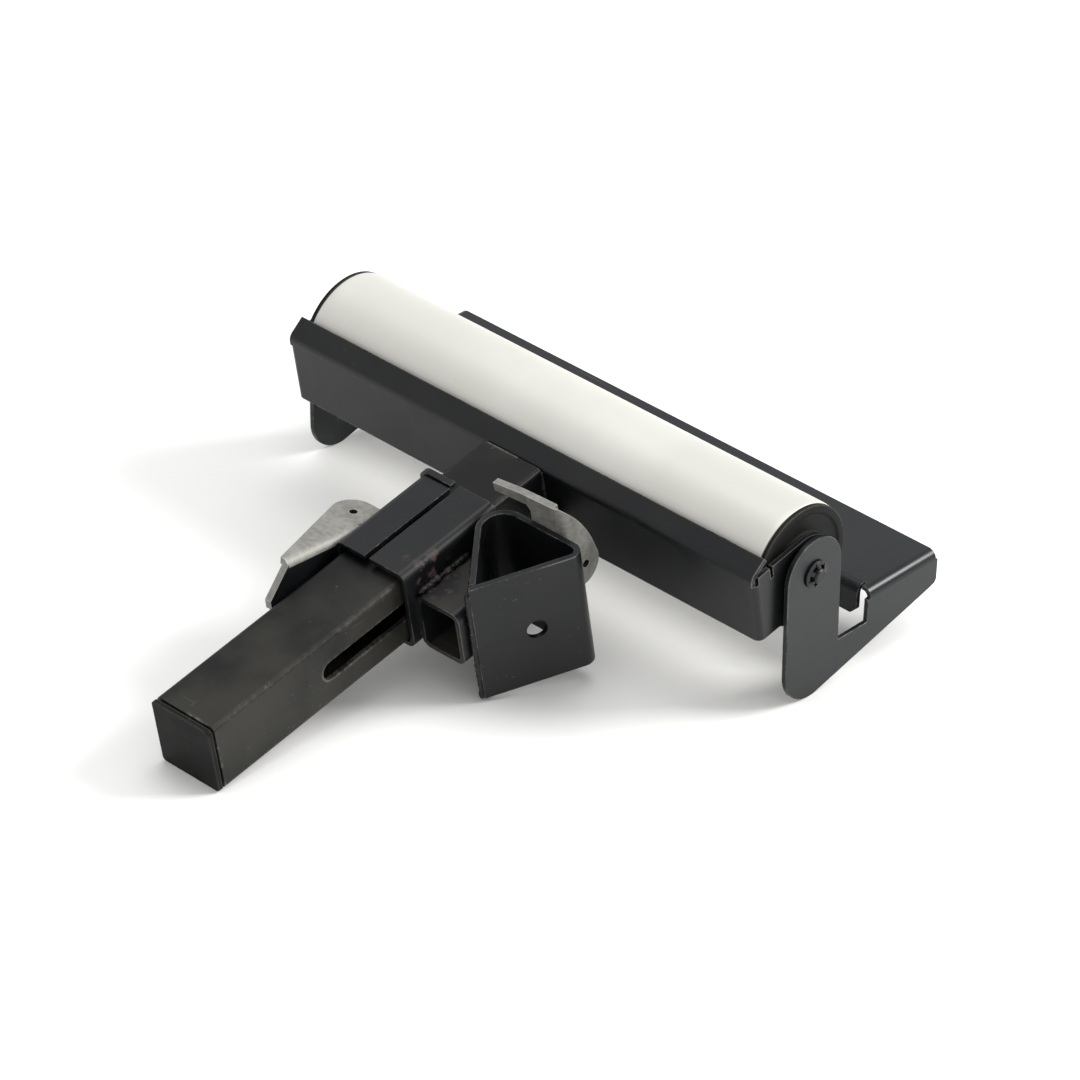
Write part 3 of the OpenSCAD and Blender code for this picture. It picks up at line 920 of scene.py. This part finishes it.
@dataclass
class PushLock:
    """A push-on star lock: a thin ring with fingers that lean in on the axle."""

    bar: BarFrame
    side: Side
    rim_r: float = 5.7
    axle_r: float = 3.0
    sheet: float = 0.7
    fingers: int = 6
    rim_in: float = 1.1
    dome: float = 0.35
    finger_w: float = 2.1
    finger_len: float = 2.2
    finger_edge: float = 0.14
    finger_out: float = 0.75
    finger_up: float = 1.25
    taper: float = 0.72
    lean: float = 1.25
    steps: int = 48

    def build(self, finish: bpy.types.Material) -> bpy.types.Object:
        """Spins the rim, then sets the fingers round it.

        Args:
            finish: the lock's material.

        Returns:
            The lock.
        """
        low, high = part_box(f"lock_{self.side.word}")
        inner = min(abs(low.x), abs(high.x)) / MM
        bm = bmesh.new()
        hole_r, outer = self.axle_r + self.rim_in, inner + self.sheet
        outline = [(inner, hole_r, 0.2), (inner, self.rim_r, 0.25), (outer, self.rim_r, 0.25),
                   (outer + self.dome, hole_r, 0.2)]
        lathe(bm, rounded(outline, 3), self.steps)
        for i in range(self.fingers):
            made = bmesh.ops.create_cube(bm, size=1.0)["verts"]
            bmesh.ops.scale(bm, vec=(self.sheet, self.finger_w, self.finger_len), verts=made)
            tip = [v for v in made if v.co.z < 0]
            bmesh.ops.scale(bm, vec=(1.0, self.taper, 1.0), verts=tip)
            bmesh.ops.translate(bm, vec=(self.lean, 0.0, 0.0), verts=tip)
            edges = list({e for v in made for e in v.link_edges})
            broken = bmesh.ops.bevel(bm, geom=edges, offset=self.finger_edge, offset_type="OFFSET",
                                     affect="EDGES", segments=2, profile=0.5, clamp_overlap=True,
                                     material=-1)
            part = list({v for f in broken["faces"] for v in f.verts})
            place = (inner + self.sheet * self.finger_out, 0.0, self.axle_r + self.finger_up)
            bmesh.ops.translate(bm, vec=place, verts=part)
            turn = Matrix.Rotation(TURN * i / self.fingers, 3, "X")
            bmesh.ops.rotate(bm, cent=(0, 0, 0), matrix=turn, verts=part)
        if self.side is Side.LEFT:
            bmesh.ops.scale(bm, vec=(-1.0, 1.0, 1.0), verts=bm.verts[:])
            bmesh.ops.reverse_faces(bm, faces=bm.faces[:])
        bm.transform(Matrix.Translation(self.bar.axle) @ Matrix.Scale(MM, 4))
        smooth_by_angle(bm)
        name = f"lock_{self.side.word}"
        return finished(f"{name}_star", bm, "bar_head", [finish], [name])


@dataclass
class WeldSeam:
    """A run of overlapping weld ripples between two points of the bar's frame."""

    name: str
    body: str
    start: tuple[float, float, float]
    end: tuple[float, float, float]
    width: float = 2.0
    pitch: float = 0.8
    ragged: float = 0.2
    overlap: float = 1.15
    flat: float = 0.8
    shake: float = 0.5

    def build(self, bar: BarFrame, finish: bpy.types.Material, rng: random.Random) -> bpy.types.Object:
        """Lays the ripples along the seam.

        Args:
            bar: the bar's axes.
            finish: the bead's material.
            rng: the seeded source of unevenness.

        Returns:
            The bead as one piece.
        """
        a, b = Vector(self.start), Vector(self.end)
        count = max(2, round((b - a).length / self.pitch))
        along = (b - a).normalized()
        lie = along.to_track_quat("X", "Z").to_matrix()
        bm = bmesh.new()
        for i in range(count + 1):
            wide = self.width * (1 + self.ragged * rng.uniform(-1, 1)) / 2
            made = bmesh.ops.create_uvsphere(bm, u_segments=10, v_segments=6, radius=1.0)["verts"]
            bmesh.ops.scale(bm, vec=(self.pitch * self.overlap, wide, wide * self.flat), verts=made)
            bmesh.ops.rotate(bm, cent=(0, 0, 0), matrix=lie, verts=made)
            aside = Vector([rng.uniform(-1, 1) for _ in range(3)]) * self.ragged * self.shake
            bmesh.ops.translate(bm, vec=a.lerp(b, i / count) + aside, verts=made)
        bm.transform(bar.matrix)
        smooth_by_angle(bm, BEAD_ANGLE)
        return finished(self.name, bm, self.body, [finish])


@dataclass
class Brackets:
    """The painted, folded pieces, the two bare plates and the bar's plug."""

    bar: BarFrame
    edge: float = 0.3
    strap_edge: float = 0.25
    cut_edge: float = 0.35
    plug_edge: float = 0.7

    def parts(self) -> list[tuple[SoftEdged, Look]]:
        """Lists the softened pieces.

        Returns:
            Each piece with the name of its finish.
        """
        paint, plate = Slot.PAINT, Slot.PLATE
        upward = (self.bar.point(0, 0, 1) - self.bar.point(0, 0, 0)).normalized()
        return [
            (SoftEdged("front_bracket", "bar_head", paint, self.edge), Look.FORK),
            (SoftEdged("square_bar", "bar_head", paint, self.edge), Look.BAR),
            (SoftEdged("rear_bracket", "foot", paint, self.edge), Look.FOOT),
            (SoftEdged("sleeve", "carriage", paint, self.edge), Look.SLEEVE),
            (SoftEdged("rear_strap", "carriage", paint, self.strap_edge), Look.PAINT),
            # the spacer's upward faces take a lighter paint: painted highlight on its lit top
            (SoftEdged("spacer_tube", "carriage", paint, self.edge, recoloured_side=upward), Look.SLEEVE),
            (SoftEdged("corner_bracket", "carriage", paint, self.cut_edge), Look.PAINT),
            (SoftEdged("catch_plate", "carriage", plate, self.cut_edge, hole=mount_hole("catch_hole")),
             Look.PLATE),
            (SoftEdged("lever", "lever", plate, self.cut_edge, hole=mount_hole("lever_hole"),
                       recoloured_side=Vector((1.0, 0.0, 0.0))), Look.PLATE),
            (BarPlug("bar_plug", "bar_head", Slot.PLASTIC, self.plug_edge, 3), Look.PLASTIC),
        ]

    def build(self, finishes: dict[Look, bpy.types.Material]) -> None:
        """Builds every softened piece.

        Args:
            finishes: the materials.
        """
        for part, finish in self.parts():
            # third finish: black paint on a plate's recoloured side, otherwise the spacer top's painted highlight
            recoloured = finishes[Look.PAINT if finish is Look.PLATE else Look.SPACER]
            part.build([finishes[finish], finishes[Look.BORE], recoloured])


@dataclass
class Welds:
    """The weld beads that join the fixed pieces."""

    bar: BarFrame
    bar_half: float = 15.0
    bar_end: float = -28.4
    toe: float = 0.2
    inset: float = 2.0
    spacer_x: float = 18.7
    spacer_front: float = -76.0
    spacer_back: float = -98.5
    spacer_top: float = 7.6
    under: tuple[float, float] = (18.6, -17.2)
    under_run: tuple[float, float] = (-100.0, -72.0)
    corner_run: tuple[tuple[float, float], tuple[float, float]] = ((36.9, -92.5), (21.5, -73.7))
    corner_top: float = 7.8
    edge_at: tuple[float, float] = (41.6, -97.5)
    edge_run: tuple[float, float] = (-33.5, 14.5)

    def seams(self) -> list[WeldSeam]:
        """Lists the beads, in the bar's frame.

        Returns:
            Every bead.
        """
        h, y, low = self.bar_half, self.bar_end - self.toe, -self.bar_half + self.inset
        high = self.bar_half - self.inset
        x, top = self.spacer_x, self.spacer_top
        under_x, under_z = self.under
        (far_x, far_y), (near_x, near_y) = self.corner_run
        return [
            WeldSeam("weld_bar_right", "bar_head", (h, y, low), (h, y, high)),
            WeldSeam("weld_bar_left", "bar_head", (-h, y, low), (-h, y, high)),
            WeldSeam("weld_bar_low", "bar_head", (low, y, -h), (high, y, -h)),
            WeldSeam("weld_spacer_top", "carriage", (x, self.spacer_back, top),
                     (x, self.spacer_front, top), width=3.6, pitch=2.3, ragged=0.28),
            WeldSeam("weld_spacer_low", "carriage", (under_x, self.under_run[0], under_z),
                     (under_x, self.under_run[1], under_z), width=2.2, pitch=1.0, ragged=0.3),
            WeldSeam("weld_corner_top", "carriage", (far_x, far_y, self.corner_top),
                     (near_x, near_y, self.corner_top), width=2.2, pitch=1.0, ragged=0.4),
            WeldSeam("weld_corner_edge", "carriage", (*self.edge_at, self.edge_run[0]),
                     (*self.edge_at, self.edge_run[1]), width=3.0, pitch=2.4, ragged=0.14),
        ]

    def build(self, finish: bpy.types.Material, burnt: bpy.types.Material, rng: random.Random) -> None:
        """Builds every bead.

        Args:
            finish: the painted beads' material.
            burnt: the material of the bead beside the burn.
            rng: the seeded source of unevenness.
        """
        for seam in self.seams():
            seam.build(self.bar, burnt if seam.name == "weld_spacer_top" else finish, rng)


@dataclass
class SmallParts:
    """CAD pieces that are shown as they are and only get their finish."""

    finish_of: dict[Look, Sequence[str]] = field(default_factory=lambda: {
        Look.DARK: ("axle", "washer_left", "washer_right"),
        Look.BEARING: ("race_left", "race_right", "bearing_left", "bearing_right", "spacer_left",
                       "spacer_right"),
        Look.ZINC: ("guide_bolt", "guide_washer", "guide_nut", "lever_rivet", "lever_washer"),
    })

    def dress(self, finishes: dict[Look, bpy.types.Material]) -> None:
        """Gives each of these nodes its material.

        Args:
            finishes: the materials.
        """
        for finish, nodes in self.finish_of.items():
            for name in nodes:
                mesh = frame["nodes"][name].data
                mesh.materials.clear()
                mesh.materials.append(finishes[finish])
                LOG.info("%s: dressed in %s", name, finish.value)


# --- stage ------------------------------------------------------------------------------------


@dataclass
class Stage:
    """Floor, lights and camera."""

    bar: BarFrame
    azimuth: float = 42.09
    elevation: float = 33.2
    roll: float = 1.96
    distance: float = 2231.3
    aim_right: float = -9.17
    aim_up: float = 9.74
    lens: float = 191.57
    sensor: float = 36.0
    fill: float = 0.85
    floor_half: float = 6.0

    def floor(self, finish: bpy.types.Material) -> None:
        """Lays the floor under the object.

        Args:
            finish: the floor's material.
        """
        bm = bmesh.new()
        bmesh.ops.create_grid(bm, x_segments=4, y_segments=4, size=self.floor_half)
        mesh = bpy.data.meshes.new("floor")
        bm.to_mesh(mesh)
        bm.free()
        mesh.materials.append(finish)
        floor = bpy.data.objects.new("floor", mesh)
        bpy.context.scene.collection.objects.link(floor)

    def softbox(self, name: str, power: float, size: float, place: Vector, colour: Colour) -> None:
        """Hangs a square light that faces the object.

        Args:
            name: the light's name.
            power: its power in watts.
            size: its side in metres.
            place: where it hangs.
            colour: its colour.
        """
        lamp = bpy.data.lights.new(name, "AREA")
        lamp.energy, lamp.size, lamp.color = power, size, colour
        holder = bpy.data.objects.new(name, lamp)
        holder.location = place
        holder.rotation_euler = (-place).to_track_quat("-Z", "Y").to_euler()
        bpy.context.scene.collection.objects.link(holder)

    def lights(self) -> None:
        """Sets the soft studio light."""
        scene = bpy.context.scene
        scene.view_settings.view_transform = "Standard"
        world = bpy.data.worlds.new("studio")
        world.use_nodes = True
        world.node_tree.nodes["Background"].inputs["Color"].default_value = (1.0, 1.0, 1.0, 1.0)
        world.node_tree.nodes["Background"].inputs["Strength"].default_value = self.fill
        scene.world = world
        self.softbox("window", 80.0, 1.1, Vector((1.62, 1.95, 1.85)), (1.0, 0.995, 0.98))
        self.softbox("overhead", 18.0, 1.6, Vector((-0.3, 0.3, 2.6)), (1.0, 1.0, 1.0))

    def camera(self) -> None:
        """Sets the camera, turned about its own axis by the roll."""
        az, el = math.radians(self.azimuth), math.radians(self.elevation)
        back = Vector((math.sin(az) * math.cos(el), -math.cos(az) * math.cos(el), math.sin(el)))
        right = Vector((math.cos(az), math.sin(az), 0.0))
        up = back.cross(right)
        under_axle = Vector((0.0, self.bar.axle.y, 0.0))
        place = under_axle + (back * self.distance + right * self.aim_right + up * self.aim_up) * MM
        roll = Matrix.Rotation(math.radians(self.roll), 4, "Z")
        turn = Matrix((right, up, back)).transposed().to_4x4() @ roll
        lens = bpy.data.cameras.new("camera")
        lens.lens, lens.sensor_width = self.lens, self.sensor
        lens.clip_start, lens.clip_end = 0.05, 50.0
        camera = bpy.data.objects.new("camera", lens)
        camera.matrix_world = Matrix.Translation(place) @ turn
        bpy.context.scene.collection.objects.link(camera)
        bpy.context.scene.camera = camera


def make_finishes(bar: BarFrame, effects: Effects) -> dict[Look, bpy.types.Material]:
    """Builds every material.

    Args:
        bar: the bar's axes, for the burn beside the weld.
        effects: the shared groups.

    Returns:
        The materials.
    """
    burn = tuple(bar.point(18.5, -91.5, 9.0))
    finishes = {
        Look.PAINT: BlackPaint(),
        Look.FORK: BlackPaint(name="fork_black_paint", wear=0.6),
        # foot: black paint whose bluer, lighter base and cloud are a painted blue-grey reflection on the end
        # plates
        Look.FOOT: BlackPaint(name="foot_paint_with_painted_reflection", base=(0.0042, 0.0062, 0.0078),
                              cloudy=(0.0070, 0.0092, 0.0104), rough=0.25, gloss=0.31),
        Look.BAR: BlackPaint(name="bar_black_paint", base=(0.0015, 0.0018, 0.0022),
                             cloudy=(0.0210, 0.0202, 0.0160), rough=0.32, gloss=0.22, wear=0.38,
                             wear_radius=0.0022, scuffs=0.4),
        Look.SLEEVE: BlackPaint(name="sleeve_black_paint", scorch_at=burn),
        # spacer top: the lighter olive base and cloud are painted highlight; the scorch is a real burn
        Look.SPACER: BlackPaint(name="spacer_top_paint_with_painted_highlight", wear=0.35, base=(0.014, 0.0135, 0.011),
                                cloudy=(0.028, 0.027, 0.021), rough=0.42, scorch_at=burn),
        Look.WELD: BlackPaint(name="painted_weld", wear=0.3, rough=0.36),
        Look.BURNT: BlackPaint(name="burnt_weld", wear=0.0, rough=0.34, gloss=0.3, scorch_at=burn,
                               scorch_reach=0.010),
        Look.ROLLER: RollerShell(),
        Look.PLASTIC: BlackPlastic(),
        Look.PLATE: BareSteel("dull_cut_plate", (0.185, 0.182, 0.168), (0.315, 0.31, 0.288),
                              rough=0.52, metal=0.6, relief=0.9, wear=0.9),
        # near-black hole walls: painted shade in the plates' holes
        Look.BORE: BareSteel("bore_painted_shade", (0.006, 0.006, 0.006), (0.012, 0.012, 0.011),
                             rough=0.6, metal=0.2),
        Look.DARK: BareSteel("blackened_steel", (0.012, 0.012, 0.013), (0.03, 0.03, 0.032),
                             rough=0.36, metal=0.6, relief=0.4, wear=0.5),
        Look.BEARING: BareSteel("bearing_steel", (0.42, 0.43, 0.44), (0.55, 0.56, 0.57),
                                rough=0.26, metal=1.0, relief=0.2, wear=0.3),
        Look.ZINC: BareSteel("zinc_fasteners", (0.40, 0.41, 0.42), (0.56, 0.57, 0.57),
                             rough=0.34, metal=0.9, relief=0.3, wear=0.4),
        Look.FLOOR: FloorFinish(),
    }
    return {look: finish.make(effects) for look, finish in finishes.items()}


def main() -> None:
    """Builds the whole scene in order."""
    logging.basicConfig(level=logging.INFO, format="%(name)s %(message)s")
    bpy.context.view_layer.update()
    rng = random.Random(SEED)
    bar = BarFrame()
    finishes = make_finishes(bar, Effects())
    Brackets(bar).build(finishes)
    roller = Roller(bar)
    roller.tube(finishes[Look.ROLLER])
    for side in Side:
        roller.cap(side, finishes[Look.PLASTIC])
        PushLock(bar, side).build(finishes[Look.DARK])
    Welds(bar).build(finishes[Look.WELD], finishes[Look.BURNT], rng)
    SmallParts().dress(finishes)
    stage = Stage(bar)
    stage.floor(finishes[Look.FLOOR])
    stage.lights()
    stage.camera()


if __name__ == "__main__":
    main()
